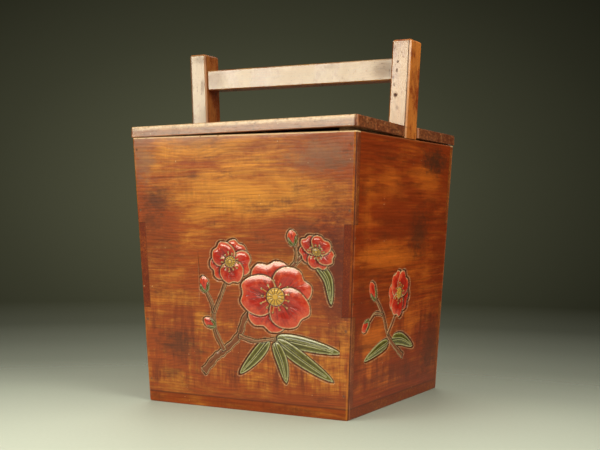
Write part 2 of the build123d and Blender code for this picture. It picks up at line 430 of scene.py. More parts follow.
def lacquered_wood(
    place, axes, pith, seed, gold, tones, patches=(), combs=(), ring=2.4, drawn=1.0
):
    """Colour, roughness and height of a lacquered board, before its own marks.

    tones are the thick and the rubbed lacquer; patches lists the places and sizes, in mm,
    where it is rubbed, and combs where the plane left cross marks; drawn below 1 draws the
    clouds out along the board."""
    late, fibres, fine, threads = wood_grain(place, axes, pith, ring, seed)
    parts = split(place)
    up = parts[2]
    along, across, inward = [parts[AXES[letter]] for letter in axes]
    along = along * drawn
    clouds = noise(
        vector(along * 0.011 + seed * 3.1, across * 0.024 + seed, inward * 0.02), 4.0, 0.55, 0.5
    )
    mottle = noise(
        vector(along * 0.045 + seed, across * 0.13 + seed * 2, inward * 0.1), 5.0, 0.7, 0.4
    )
    streaks = noise(vector(along * 0.016 + seed, across * 0.30, inward * 0.3), 5.0, 0.65)
    drips = noise(vector(along * 0.15 + seed, across * 0.020, inward * 0.02), 4.0, 0.65)
    wiped = ease(up, 130, 50) * ease(up, 12, 28)
    golden = clouds + (mottle - 0.5) * 0.75 + (streaks - 0.5) * 0.70 + (gold - 0.5)
    golden = golden + (0.5 - drips) * wiped * 1.2
    for centre, size, strength in patches:
        golden = golden + blotch(place, centre, size, streaks, 2.6, (1.5, -0.1)) * strength
    colour = blend(ease(golden, 0.26, 0.86), *tones)
    colour = blend(late * 0.20, colour, UMBER)
    combed = noise(vector(along * 0.02 + seed, across * 0.03, 0.0), 2.0, 0.5)
    combed = ease(combed, 0.45, 0.62)
    for centre, size in combs:
        combed = combed + blotch(place, centre, size, streaks, 1.2) * 0.9
    chatter = noise(vector(along * 0.40, across * 0.035, inward * 0.04), 3.0, 0.6) - 0.5
    tone = (fibres - 0.5) * 1.20 + (fine - 0.5) * 0.40 + (threads - 0.5) * 0.60
    colour = brighten(colour, tone + chatter * combed * 0.60 + 1.0)
    colour = blend(ease(threads, 0.56, 0.72) * 0.50, colour, UMBER)
    clots = noise(vector(along * 0.028 - seed, across * 0.060, inward * 0.05), 6.0, 0.7)
    dark = ease(clots + chatter * 0.25 + (streaks - 0.5) * 0.3, 0.52, 0.74)
    colour = blend(dark * 0.55 + ease(drips, 0.54, 0.68) * wiped * 0.45, colour, UMBER)
    rough = (mottle - 0.5) * 0.14 + (fine - 0.5) * 0.08 + dark * 0.06 + 0.34
    height = (fibres - 0.5) * 0.6 + (fine - 0.5) * 0.30 - late * 0.25 + chatter * 0.25
    return colour, rough, height


print("lacquered wood ready")

# %% [markdown]
# ## The clear coat
# The last coat of lacquer is thin and clear. Below it the wood has its own dull shine, so
# two roughnesses meet: a broad one that veils the top of the boards where they face the
# light, and a sharp one that glints on the rounded edges and on the carving.

# %% Clear coat
def finish(material, surface, colour, rough, height, coat=0.18, shine=0.30, bump=0.08):
    """Join the channels to the surface, with a clear coat over all."""
    relief = height.node(
        "ShaderNodeBump", {"Strength": bump, "Distance": 0.001, "Height": height}
    )
    connect(
        surface,
        Base_Color=colour,
        Roughness=rough,
        Normal=relief,
        Coat_Weight=coat,
        Coat_Roughness=0.12,
        Specular_IOR_Level=shine,
        IOR=1.5,
    )
    return material


def dress(name, material):
    """Give a CAD piece its material in place of the one it came with."""
    nodes[name].data.materials.clear()
    nodes[name].data.materials.append(material)


print("clear coat ready")

# %% [markdown]
# ## Marks of age, painted highlights and painted shade on the outside
# The same marks go on all four walls. At each rounded arris the front face ends in a
# thin amber line of painted highlight, and round the corner follow a dark line of painted
# shade and a rosy line that is partly wear and partly painted highlight. The top edge has
# a pale line on the front and back and a rosy one on the sides, partly worn lacquer and
# partly painted highlight. The finger ends drink more lacquer and go dark, hairlines show
# where the fingers meet, and a line of dirt fills the seam over the base board. The walls
# lean by a known amount, so a point's distance from an arris follows from its
# coordinates, and each mark is a stripe of that distance.

# %% Wear, painted highlights and painted shade of the walls
def wall_marks(place, colour, rough, facing, seed):
    """Painted highlight and shade of the arrises, wear, end grain, seams and small scratches.

    facing is the axis that the wall looks along."""
    x, y, up = split(place)
    half = up * LEAN + FLOOR_REACH
    x_side = half - abs(x)
    y_side = half - abs(y)
    face_side, end_side = (y_side, x_side) if facing == "Y" else (x_side, y_side)
    off_face = ease(face_side, 0.6, 1.6)
    broken = noise(vector(x * 0.3, y * 0.3, up * 0.12), 4.0, 0.7)
    end_grain = noise(vector(x * 0.8, y * 0.8, up * 0.8), 3.0, 0.6)
    own_end = off_face * ease(end_side, 2.0, 0.8)
    end_tone = END_BROWN if facing == "Y" else OXBLOOD
    colour = blend(own_end * ease(end_grain, 0.20, 0.62) * 0.80, colour, end_tone)
    middle_third = band_of(up, *FINGER_STEPS, 0.3)
    met = middle_third if facing == "Y" else 1 - middle_third
    upright_seam = ease(abs(end_side - WALL), 0.7, 0.3) * met * (1 - off_face)
    level_seam = ease(end_side, WALL + 0.2, WALL - 0.2) * (
        ease(abs(up - FINGER_STEPS[0]), 0.6, 0.3) + ease(abs(up - FINGER_STEPS[1]), 0.6, 0.3)
    )
    colour = blend((upright_seam + level_seam) * 0.55, colour, UMBER)
    foot_seam = band_of(up, BASE - 0.2, BASE + 0.4, 1.0)
    colour = blend(foot_seam * 0.65, colour, UMBER)
    colour = blend(ease(up, 26.0, 12.0) * 0.16, colour, OXBLOOD)
    corner = x_side.maths("MAXIMUM", x_side, y_side)
    on_front = ease(x_side - y_side, -0.3, 0.3)
    ticks = noise(vector(x * 0.2, y * 0.2, up * 0.07), 3.0, 0.6)
    # Painted highlight: a thin amber glint on the front face at the rounded arris.
    glint = band_of(corner, 0.9, 1.9, 0.7) * on_front * ease(ticks, 0.35, 0.65)
    colour = blend(glint * (1 - middle_third * 0.6) * 0.34, colour, AMBER)
    # Painted shade: a dark line round the corner, on the side of the rounded arris.
    arris_shade_line = ease(corner, 2.4, 1.4) * (1 - on_front) * ease(broken, 0.80, 0.50)
    colour = blend(arris_shade_line * 0.80, colour, UMBER)
    # A rosy line beyond it, partly wear and partly painted highlight.
    rose_wear_and_highlight = band_of(corner, 2.4, 3.6, 0.7) * (1 - on_front) * ease(ticks, 0.35, 0.62)
    colour = blend(rose_wear_and_highlight * 0.45, colour, ROSE_WEAR_AND_HIGHLIGHT)
    # The top edge: a pale line on the front and back, a rosy one on the sides, partly worn lacquer
    # and partly painted highlight.
    rim = ease(up, RIM - 1.5, RIM - 0.9) * ease(broken, 0.25, 0.45)
    if facing == "Y":
        colour = blend(rim * 0.95, colour, PALE_WEAR_AND_HIGHLIGHT)
    else:
        colour = blend(rim * 0.45, colour, ROSE_WEAR_AND_HIGHLIGHT)
    nick_noise = noise(vector(x * 0.42 + seed, y * 0.42, up * 0.42), 1.0, 0.4)
    colour = blend(ease(nick_noise, 0.80, 0.83) * 0.45, colour, PALE_WEAR_AND_HIGHLIGHT)
    scratch_noise = noise(vector(x * 0.9 + seed, y * 0.9, up * 0.035), 2.0, 0.5)
    scratches = ease(scratch_noise, 0.68, 0.76) * ease(broken, 0.5, 0.7)
    colour = blend(scratches * 0.35, colour, SOOT)
    return colour, rough + own_end * 0.10 + arris_shade_line * 0.20


print("wear of the walls ready")

# %% [markdown]
# ## Stains and rubbed places
# The front has a broad golden field across its upper half, greyish bloom in its upper
# corners, and sooty patches low down and beside the fingers. The right side has three
# level golden bands between darker red ones. Each entry gives a place, a size and a
# strength.

# %% Stains and rubbed places
FRONT_GOLD = (
    ((-30, -120, 243), (95, 20, 18), 0.44),
    ((10, -118, 205), (110, 20, 26), 0.42),
    ((-68, -113, 82), (34, 20, 30), 0.10),
    ((30, -110, 34), (90, 20, 18), 0.14),
)
FRONT_STAINS = (
    ((-94, -119, 196), (20, 20, 13), 0.60, SOOT),
    ((-108, -120, 238), (14, 20, 26), 0.55, BLOOM),
    ((-53, -120, 250), (34, 20, 7), 0.35, BLOOM),
    ((86, -120, 236), (40, 20, 15), 0.60, BLOOM),
    ((98, -120, 228), (20, 20, 8), 0.22, SOOT),
    ((88, -116, 152), (30, 20, 30), 0.25, OXBLOOD),
    ((-72, -112, 88), (34, 20, 26), 0.22, OXBLOOD),
    ((-102, -118, 176), (14, 20, 10), 0.40, SOOT),
    ((66, -117, 170), (22, 20, 12), 0.35, SOOT),
    ((-95, -116, 150), (26, 20, 40), 0.25, SOOT),
    ((-70, -112, 58), (27, 20, 13), 0.60, SOOT),
    ((-82, -110, 29), (14, 20, 6), 0.50, SOOT),
    ((100, -115, 136), (26, 20, 62), 0.95, OXBLOOD),
    ((70, -116, 150), (40, 20, 16), 0.30, SOOT),
    ((30, -110, 60), (80, 20, 20), 0.15, SOOT),
)
FRONT_COMBS = (
    ((-52, -117, 197), (26, 20, 9)),
    ((8, -117, 196), (34, 20, 6)),
    ((20, -119, 236), (44, 20, 8)),
)
SIDE_GOLD = (
    ((119, 50, 222), (44, 44, 12), 0.50),
    ((119, -45, 212), (44, 40, 14), 0.26),
    ((115, -40, 146), (44, 60, 12), 0.55),
    ((111, -62, 60), (44, 34, 26), 0.52),
    ((111, 30, 78), (44, 34, 14), 0.30),
    ((119, -88, 190), (44, 12, 50), 0.20),
)
SIDE_STAINS = (
    ((120, 70, 238), (20, 34, 15), 0.85, SOOT),
    ((116, 36, 166), (20, 26, 24), 0.65, SOOT),
    ((114, 10, 176), (20, 60, 9), 0.30, OXBLOOD),
    ((110, 85, 48), (20, 30, 34), 0.60, SOOT),
    ((113, -92, 110), (20, 12, 60), 0.35, OXBLOOD),
    ((114, 96, 120), (20, 24, 70), 0.40, OXBLOOD),
    ((112, 10, 30), (20, 80, 12), 0.25, SOOT),
)


def stained(place, colour, stains):
    """Lay the stains of a board over its colour."""
    x, y, up = split(place)
    brushed = noise(vector(x * 0.12, y * 0.12, up * 0.22), 6.0, 0.7)
    for centre, size, depth, tone in stains:
        spot = blotch(place, centre, size, brushed, 2.6, (1.35, 0.1)) * depth
        colour = blend(spot, colour, tone)
    return colour


print(len(FRONT_STAINS) + len(SIDE_STAINS), "stains noted")

# %% [markdown]
# ## Finishes of the plain walls
# Each piece gets its own material, because no two boards come from the same place in a
# tree. The left and back walls and the base board have no carving, so their CAD shape
# stays, and only their surface is new.

# %% Finishes of the plain walls
def wall_finish(name, facing, seed, pith, gold, patches=(), stains=(), combs=()):
    """The channels of a wall's finish, ready for paint or for its surface."""
    material, surface, place = new_material(name.replace("_", " "))
    if facing == "Y":
        axes, tones, drawn = ("X", "Z", "Y"), (RUSSET, AMBER), 1.0
    else:
        # The sides take a darker, redder pair of tones, partly stain and partly painted shade.
        axes, tones, drawn = ("Y", "Z", "X"), (SIDE_RUSSET_STAIN_AND_SHADE, SIDE_AMBER_STAIN_AND_SHADE), 0.45
    colour, rough, height = lacquered_wood(
        place, axes, pith, seed, gold, tones, patches, combs, drawn=drawn
    )
    colour = stained(place, colour, stains)
    colour, rough = wall_marks(place, colour, rough, facing, seed)
    return material, surface, place, colour, rough, height


for name, facing, seed, pith, gold in (
    ("left_board", "X", 5, (120, 190), 0.46),
    ("back_board", "Y", 7, (60, -200), 0.46),
    ("base_board", "Y", 9, (0, 300), 0.34),
):
    material, surface, place, colour, rough, height = wall_finish(
        name, facing, seed, pith, gold
    )
    dress(name, finish(material, surface, colour, rough, height, coat=0.10, shine=0.18))
print("left, back and base boards finished")

# %% [markdown]
# ## Handle
# The posts and the bar are a paler, closer wood. Hands have polished them, so they shine
# more than the walls. Their upright faces look straw coloured. Most of that is the lamp in
# the polish, and the rest is painted in as a pale straw tone on the front and the back
# alike, partly bleached wood and partly painted sheen. The outer arris of each post gets a
# light orange line, partly rubbed wood and partly painted highlight, with a dark line
# beside it of dirt and painted shade. Old spots on the front of the right post are dull as
# well as dark, because dirt sits on top of the lacquer there: the same mask darkens the
# wood, roughens it and takes the coat away.

# %% Handle
# The left post's tones are darker and redder than the right's, partly painted shade.
LEFT_TONES = (rgb(128, 62, 26), rgb(160, 94, 40))
RIGHT_TONES = (rgb(142, 60, 22), rgb(204, 118, 46))
BAR_TONES = (rgb(140, 76, 36), rgb(178, 112, 54))
# A pale straw tone for the upright faces: partly bleached wood, partly painted sheen.
STRAW_TONE_AND_SHEEN = rgb(146, 114, 66)
STRAW_AND_SHEEN_FACES = {"Z": (12.2, 13.2), "X": (8.6, 9.6)}
TOP_FROM = {"Z": 350.0, "X": 334.2}
# Light orange of the post arrises: partly wear, partly painted highlight.
ARRIS_WEAR_AND_HIGHLIGHT = rgb(214, 142, 84)
POST_WIDTH = 19.5
POST_OUTSIDE = 1.2
POST_CHAMFER = 1.6
BAR_MARKS = (
    ((98, -10, 325), (17, 4, 13), 0.42),
    ((-97, -10, 325), (16, 4, 13), 0.22),
    ((40, -10, 330), (9, 4, 3), 0.12),
)
LEFT_POST_MARKS = (
    ((-112, -13.5, 346), (11, 4, 5), 0.30),
    ((-110, -13.5, 318), (3, 3, 9), 0.30),
    ((-107, -13.5, 286), (8, 4, 14), 0.18),
)
RIGHT_POST_MARKS = (
    ((113.5, -13.5, 331), (1.4, 3, 1.8), 0.9),
    ((112.5, -13.5, 322.5), (1.2, 3, 2.6), 0.9),
    ((108.5, -13.5, 316), (1.2, 3, 2.0), 0.6),
    ((109.5, -13.5, 309), (1.2, 3, 2.2), 0.5),
    ((111, -13.5, 299), (2.5, 3, 2.7), 1.0),
    ((113, -13.5, 286.5), (2.2, 3, 2.0), 0.4),
    ((109, -13.5, 345), (4, 3, 5), 0.2),
)


def handle_finish(name, axes, seed, pith, tones, marks=()):
    """Wood of the posts and the bar, with dirt, and painted shade and highlight at the arrises."""
    material, surface, place = new_material(name.replace("_", " "))
    late, fibres, fine, threads = wood_grain(place, axes, pith, 2.2, seed)
    x, y, up = split(place)
    clouds = noise(vector(x * 0.03 + seed, y * 0.03, up * 0.02), 4.0, 0.6, 0.4)
    mottle = noise(vector(x * 0.16 + seed, y * 0.16, up * 0.12), 4.0, 0.7)
    pores = noise(vector(x * 0.9 + seed, y * 0.9, up * 0.8), 4.0, 0.7)
    golden = clouds + (mottle - 0.5) * 0.5
    colour = blend(ease(golden, 0.38, 0.62), *tones)
    colour = blend(late * 0.20 + ease(threads, 0.58, 0.72) * 0.35, colour, UMBER)
    colour = brighten(colour, (fibres - 0.5) * 0.8 + (fine - 0.5) * 0.4 + 1.0)
    specks = noise(vector(x * 0.50 + seed, y * 0.50, up * 0.45), 3.0, 0.6)
    # Painted sheen: the front and back faces take the pale straw tone, partly bleached wood.
    straw_and_sheen = ease(abs(y), *STRAW_AND_SHEEN_FACES[axes[0]]) * ease(golden, 0.25, 0.60)
    colour = blend(straw_and_sheen * 0.60, colour, STRAW_TONE_AND_SHEEN)
    dirt_and_shade = ease(specks, 0.60, 0.70) * 0.55 + ease(pores, 0.56, 0.72) * 0.30
    for centre, size, depth in marks:
        dirt_and_shade = dirt_and_shade + blotch(place, centre, size, pores, 1.4) * depth
    if axes[0] == "Z":
        outer = up * LEAN + (FLOOR_REACH + POST_OUTSIDE) - abs(x)
        inner = POST_WIDTH - outer
        on_face = ease(abs(y), 12.0, 12.8)
        # A dark line beside the outer chamfer, dirt and painted shade; on the chamfers a light
        # orange line, partly wear and partly painted highlight.
        dirt_and_shade = dirt_and_shade + band_of(outer, POST_CHAMFER + 0.1, POST_CHAMFER + 0.7, 0.4) * on_face * 0.8
        worn_and_highlit = ease(outer, POST_CHAMFER, POST_CHAMFER - 0.4) * ease(abs(y), 11.6, 12.4)
        worn_and_highlit = worn_and_highlit + ease(inner, POST_CHAMFER, POST_CHAMFER - 0.4) * on_face * 0.6
        colour = blend(worn_and_highlit * 0.6, colour, ARRIS_WEAR_AND_HIGHLIGHT)
    dirt_and_shade = dirt_and_shade.maths("MINIMUM", dirt_and_shade, 1.0)
    colour = blend(dirt_and_shade, colour, UMBER)
    uneven = (clouds - 0.5) * 0.30 + (mottle - 0.5) * 0.30 + (pores - 0.5) * 0.16
    top = ease(up, TOP_FROM[axes[0]], TOP_FROM[axes[0]] + 0.8)
    rough = uneven + dirt_and_shade * 0.4 + top * 0.35 + 0.30
    height = (fibres - 0.5) * 0.6 + (pores - 0.5) * 0.5 - late * 0.2
    return finish(
        material, surface, colour, rough, height,
        coat=(mottle + 0.14) * (1 - dirt_and_shade) * (1 - top), shine=0.5,
    )


for name, *wood in (
    ("left_post", ("Z", "X", "Y"), 11, (-60, 30), LEFT_TONES, LEFT_POST_MARKS),
    ("right_post", ("Z", "X", "Y"), 13, (190, -60), RIGHT_TONES, RIGHT_POST_MARKS),
    ("crossbar", ("X", "Z", "Y"), 15, (380, 20), BAR_TONES, BAR_MARKS),
):
    dress(name, handle_finish(name, *wood))
print("handle finished")

# %% [markdown]
# ## Lid
# The two lid boards run along the handle. Their ends are end grain: dark, dusty and
# mottled. At each rounded corner a rosy line of painted highlight runs down the end, the
# back board has one at the arris of its notch, and on the right a dark line of painted
# shade runs down the long edge. Their long edges are polished by hands like the bar, and
# a pale band under their top is partly wear and partly painted highlight. The top is
# hidden in the photograph. It is left duller, as a face that things are set on.

# %% Lid
LID_TONES = (rgb(126, 62, 32), rgb(172, 104, 56))
LID_REACH = 122
LID_THICKNESS = 10.2
FRONT_LIFT = (1.0, 3.9)
BACK_LIFT = (2.0, 0.7)
BACK_NOTCH = 18.8


def lid_finish(name, seed, pith, lift):
    """Wood of a lid board: mottled dark ends, marks of use, painted shade and highlights.

    lift is how far the right end has warped up, at the split and at the corner."""
    material, surface, place = new_material(name.replace("_", " "))
    colour, rough, height = lacquered_wood(place, ("X", "Y", "Z"), pith, seed, 0.5, LID_TONES)
    x, y, up = split(place)
    x_side = LID_REACH - abs(x)
    y_side = LID_REACH - abs(y)
    across = abs(y) * (1 / LID_REACH)
    lifted = (x + LID_REACH) * (0.5 / LID_REACH) * (across * (lift[1] - lift[0]) + lift[0])
    below_top = lifted + (RIM + LID_THICKNESS) - up
    end = ease(x_side, 2.6, 0.8)
    grain = noise(vector(x * 0.4, y * 0.25, up * 0.5), 5.0, 0.7)
    colour = blend(end * ease(grain, 0.35, 0.60) * 0.75, colour, UMBER)
    colour = blend(end * ease(grain, 0.52, 0.62) * 0.6, colour, OXBLOOD)
    colour = blend(end * ease(grain, 0.44, 0.36) * 0.5, colour, ROSE_WEAR_AND_HIGHLIGHT)
    marks = noise(vector(x * 0.30 + seed, y * 0.30, up * 0.30), 3.0, 0.6)
    soiled = ease(marks, 0.60, 0.68)
    colour = blend(soiled * 0.5, colour, SOOT)
    colour = blend(ease(marks, 0.34, 0.26) * 0.5, colour, PALE_WEAR_AND_HIGHLIGHT)
    on_front = ease(x_side - y_side, -0.3, 0.3)
    corner = x_side.maths("MAXIMUM", x_side, y_side)
    # Painted shade: a dark line on the long edge beside each right-hand rounded corner.
    arris_shade_line = band_of(corner, 1.8, 3.0, 0.6) * on_front * ease(x, -60, 60)
    colour = blend(arris_shade_line * 0.75, colour, OXBLOOD)
    # Painted highlight: a rosy line on the end beside each rounded corner, and at the back board's
    # notch.
    corner_highlight = band_of(corner, 0.9, 2.6, 0.9) * (1 - on_front)
    if lift == BACK_LIFT:
        corner_highlight = corner_highlight + band_of(y, BACK_NOTCH, BACK_NOTCH + 1.8, 0.8) * end
    colour = blend(corner_highlight * 0.60, colour, ROSE_WEAR_AND_HIGHLIGHT)
    # A pale band just under the top of the long edges, partly wear and partly painted highlight.
    top_wear_and_highlight = ease(below_top, 5.5, 0.8) * ease(y_side, 6.0, 1.5) * (1 - end)
    top_wear_and_highlight = top_wear_and_highlight * ease(marks, 0.95, 0.30)
    colour = blend(top_wear_and_highlight * 0.70, colour, PALE_WEAR_AND_HIGHLIGHT)
    top = ease(below_top, 1.0, 0.3)
    rough = rough - 0.06 + end * 0.12 + soiled * 0.1 + top * 0.30
    coat = (1 - arris_shade_line) * (1 - end * 0.6) * (1 - top * 0.9) * 0.5
    return finish(material, surface, colour, rough, height, coat=coat, shine=0.5)


dress("front_lid", lid_finish("front_lid", 17, (-40, 230), FRONT_LIFT))
dress("back_lid", lid_finish("back_lid", 19, (150, 240), BACK_LIFT))
print("lid boards finished")

# %% [markdown]
# ## Cleats and pegs
# The cleats under the lid are hidden in the photograph. They are taken to be plain pale
# softwood without lacquer. The pegs are cut from a darker stick, and one sees only their
# ends, flush with the walls.

# %% Cleats and pegs
def plain_wood(name, axes, seed, pale, deep, coat):
    """Unlacquered or lightly oiled wood of the cleats and pegs."""
    material, surface, place = new_material(name.replace("_", " "))
    late, fibres, fine, threads = wood_grain(place, axes, (40, 60), 2.2, seed)
    colour = blend(late * 0.5 + (fibres - 0.5) * 0.8 + (threads - 0.5) * 0.5, pale, deep)
    colour = brighten(colour, (fine - 0.5) * 0.5 + 1.0)
    height = (fibres - 0.5) * 0.6 + (fine - 0.5) * 0.4 - late * 0.3
    return finish(
        material, surface, colour, fine * 0.2 + 0.5, height, coat=coat, shine=0.5, bump=0.2
    )


for number, name in enumerate(sorted(nodes)):
    if name.endswith("cleat"):
        pale, deep = rgb(196, 156, 108), rgb(140, 96, 58)
        dress(name, plain_wood(name, ("Y", "X", "Z"), 21 + number, pale, deep, 0.0))
    elif name.endswith("pegs"):
        pale, deep = rgb(128, 70, 32), rgb(84, 42, 20)
        dress(name, plain_wood(name, ("X", "Y", "Z"), 41 + number, pale, deep, 0.3))
print("cleats and pegs finished")

# %% [markdown]
# ## Drawing for the carver
# The front and right boards carry a sprig in low relief. The design here is a generic
# one, red plum blossom with bamboo leaves, and every form in it starts as a line drawn
# through a few points, in millimetres along the board and up it. A curve through the
# points is smoother than the points themselves, and a spine with a width along it gives
# the outline of a leaf or a twig.

# %% Smooth lines
def smooth_line(points, closed=False, steps=10):
    """A smooth line through a few points."""
    points = [np.array(p, float) for p in points]
    count = len(points)
    line = []
    for i in range(count if closed else count - 1):
        if closed:
            a, b, c, d = (points[(i + k) % count] for k in (-1, 0, 1, 2))
        else:
            a, b = points[max(i - 1, 0)], points[i]
            c, d = points[i + 1], points[min(i + 2, count - 1)]
        for t in np.arange(steps) / steps:
            bend = 2 * a - 5 * b + 4 * c - d
            turn = 3 * b - a - 3 * c + d
            line.append(0.5 * (2 * b + (c - a) * t + bend * t**2 + turn * t**3))
    if not closed:
        line.append(points[-1])
    return np.array(line)


def band(spine, width):
    """Outline of a form with a spine and a half width along it, from 0 to 1."""
    ahead = np.gradient(spine, axis=0)
    ahead /= np.linalg.norm(ahead, axis=1)[:, None] + 1e-9
    left = np.column_stack((-ahead[:, 1], ahead[:, 0]))
    half = np.array([width(t) for t in np.linspace(0, 1, len(spine))])[:, None]
    return np.vstack((spine + left * half, (spine - left * half)[::-1]))


def ring_of(place_at, count):
    """Places at equal angles round a middle; place_at turns an angle into a place."""
    return [place_at(angle) for angle in np.linspace(0, math.tau, count, endpoint=False)]


print("3 places give a line of", len(smooth_line([(0, 0), (5, 4), (10, 0)])), "points")

# %% [markdown]
# ## Near and inside
# A carver judges every cut by how far it is from the outline and on which side. For a
# point of the board that is its distance to the nearest stretch of the line, and whether
# a ray from it crosses the closed line an odd number of times.

# %% Distances
def distance_to(line, points, closed):
    """Distance from each point to a line, and how far along the line that is."""
    ends = np.roll(line, -1, axis=0) if closed else line[1:]
    starts = line if closed else line[:-1]
    nearest = np.full(len(points), 1e9)
    along = np.zeros(len(points))
    for number, (a, b) in enumerate(zip(starts, ends)):
        side = b - a
        t = np.clip((points - a) @ side / (side @ side + 1e-12), 0, 1)
        gap = np.hypot(*(points - a - t[:, None] * side).T)
        closer = gap < nearest
        nearest[closer] = gap[closer]
        along[closer] = (number + t[closer]) / len(starts)
    return nearest, along


def inside(line, points):
    """True for the points inside a closed line."""
    within = np.zeros(len(points), bool)
    px, py = points.T
    for (ax, ay), (bx, by) in zip(line, np.roll(line, -1, axis=0)):
        crosses = (ay > py) != (by > py)
        at = ax + (py - ay) * (bx - ax) / (by - ay + 1e-12)
        within ^= crosses & (px < at)
    return within


print("distances ready")

# %% [markdown]
# ## The board before carving
# The face of the board is a field of points, each with a depth that starts at nothing.
# The carving also leaves a note on each point of what was cut there, so that the paint
# later fits the cuts exactly: petal, leaf, stamen or twig for the form, heart for its
# middle, throat for the dark streaks of a blossom, rim for its raised edge, lip for the
# board's own edge beside the groove, and cut for the grooves, the veins and the edge of a
# form beside its groove, which the paint darkens as painted shade.

# %% Field of points
MASKS = ("petal", "leaf", "stamen", "twig", "heart", "throat", "rim", "lip", "cut")
DEEPEST = 2.6


class Relief:
    """A field of points on a board, and how deep each is cut."""

    def __init__(self, points):
        self.points = points
        self.depth = np.zeros(len(points))
        self.masks = {name: np.zeros(len(points)) for name in MASKS}

    def near(self, line, margin):
        """The points within a margin of the line's extent."""
        low, high = line.min(axis=0) - margin, line.max(axis=0) + margin
        return np.where(((self.points > low) & (self.points < high)).all(axis=1))[0]

    def mark(self, name, chosen, values):
        """Note a cut on some points, where it is more than what is noted already."""
        self.masks[name][chosen] = np.maximum(self.masks[name][chosen], values)


print("each point keeps", ", ".join(MASKS))

# %% [markdown]
# ## Rounding over
# Nothing stands above the surface. A groove cut round a form sinks it into the board, and
# the form is then rounded over towards the groove: full depth at its outline, quickly
# rising to the level of the board a few millimetres in. Later forms are cut over earlier
# ones, so a form first clears what it covers.

# %% A form and its groove
def cut_form(relief, outline, kind, groove=1.7, sink=1.5, shoulder=3.0, hollow=0.0, rim=1.1):
    """Round over one form and cut the groove round it."""
    chosen = relief.near(outline, groove + 1)
    points = relief.points[chosen]
    gap, _ = distance_to(outline, points, True)
    within = inside(outline, points)
    form, outer = chosen[within], ~within & (gap < groove)
    rise = np.clip(gap / shoulder, 0, 1)
    top = sink * (1 - np.sin(rise * math.pi / 2)) * 0.75 + 0.12
    top += hollow * np.clip((gap - shoulder) / 6, 0, 1)
    for mask in relief.masks.values():
        mask[form] = 0
    relief.depth[form] = top[within]
    relief.masks[kind][form] = 1
    # Painted shade along the form's own edge, inside its groove.
    relief.masks["cut"][form] = np.clip(0.55 - gap / 1.6, 0, 1)[within]
    relief.masks["heart"][form] = np.clip(gap / (2.4 * shoulder), 0, 1)[within]
    edge = np.clip(1.15 - gap / rim, 0, 1)
    relief.masks["rim"][form] = np.clip(edge * 1.6, 0, 1)[within]
    lip = np.clip(1 - abs(gap - groove) / 0.6, 0, 1) * ~within
    relief.masks["lip"][chosen] = np.maximum(relief.masks["lip"][chosen] * (gap > groove), lip)
    slope = ((1 - gap / groove).clip(0) ** 1.3)[outer]
    beside = chosen[outer]
    relief.depth[beside] = np.maximum(relief.depth[beside], sink * slope)
    # Painted shade in the groove round the form.
    relief.mark("cut", beside, np.clip(slope * 1.6, 0, 1))


print("forms sink up to", DEEPEST, "mm")

# %% [markdown]
# ## Veins and folds
# The veins of a leaf and the folds of a petal are single strokes of a narrow gouge that
# run out towards their ends. The wood beside a deep stroke is rubbed, which shows as a
# pale lip.

# %% A stroke of the gouge
def cut_line(relief, points, width=0.8, deep=0.6, taper=True, colour="cut", lip=0.0):
    """Cut one vein or fold, thinner towards its end; lip marks its rubbed sides."""
    chosen = relief.near(points, width + 1)
    gap, along = distance_to(points, relief.points[chosen], False)
    half = width * (1 - 0.75 * along if taper else 1)
    cut = np.clip(1 - gap / half, 0, 1)
    relief.depth[chosen] += deep * cut**0.8
    relief.mark(colour, chosen, np.clip(cut * 1.5, 0, 1))
    if lip:
        relief.mark("rim", chosen, np.clip(1 - abs(gap - half - 0.3) / 0.5, 0, 1) * lip)


print("gouge ready")

# %% [markdown]
# ## Bamboo leaf
# A bamboo leaf is long and pointed, fullest near its stalk, with a midrib and fine veins
# that run along it.

# %% Bamboo leaf
def leaf_width(wide):
    """Half width of a bamboo leaf: full near the stalk and drawn out to a point."""
    return lambda t: wide * (t**0.55) * (1 - t) ** 0.85 * 1.9 + 0.05


def bamboo_leaf(relief, points, wide):
    """A long leaf with a midrib and a vein on each side."""
    spine = smooth_line(points)
    cut_form(relief, band(spine, leaf_width(wide)), "leaf", shoulder=wide * 0.8, hollow=0.2)
    cut_line(relief, spine[: int(len(spine) * 0.9)], 0.8, 0.8, lip=0.9)
    veins = band(spine, leaf_width(wide * 0.5))
    for vein in (veins[: len(spine)], veins[len(spine):][::-1]):
        cut_line(relief, vein[4:-4], 0.45, 0.3, taper=False)


print("leaf", round(leaf_width(8.0)(0.4) * 2, 1), "mm wide at most")

# %% [markdown]
# ## Plum blossom
# A plum blossom has five round petals that overlap, each with a shallow notch in its tip
# and soft folds that run out from the middle. Dark brush streaks run out from the throat,
# and a boss of stamens stands in it, with a small anther at the end of each thread. Seen
# half from the side, the whole blossom is squashed and leans.

# %% Petals
def turned(angle):
    """The matrix that turns places by an angle."""
    return np.array(((math.cos(angle), math.sin(angle)), (-math.sin(angle), math.cos(angle))))


def petal_outline(centre, radius, turn, squash=1.0, lean=0.0):
    """A round plum petal with a shallow notch in its tip."""
    def edge(angle):
        notch = sum(0.14 * math.exp(-(((angle - full) / 0.35) ** 2)) for full in (0, math.tau))
        far = radius * (0.56 - notch) * (1 + 0.05 * math.sin(3 * angle + turn * 7))
        return radius * 0.50 + far * math.cos(angle), far * 1.02 * math.sin(angle)
    line = smooth_line(ring_of(edge, 14), closed=True, steps=6)
    return line @ turned(turn) * (1, squash) @ turned(lean) + centre


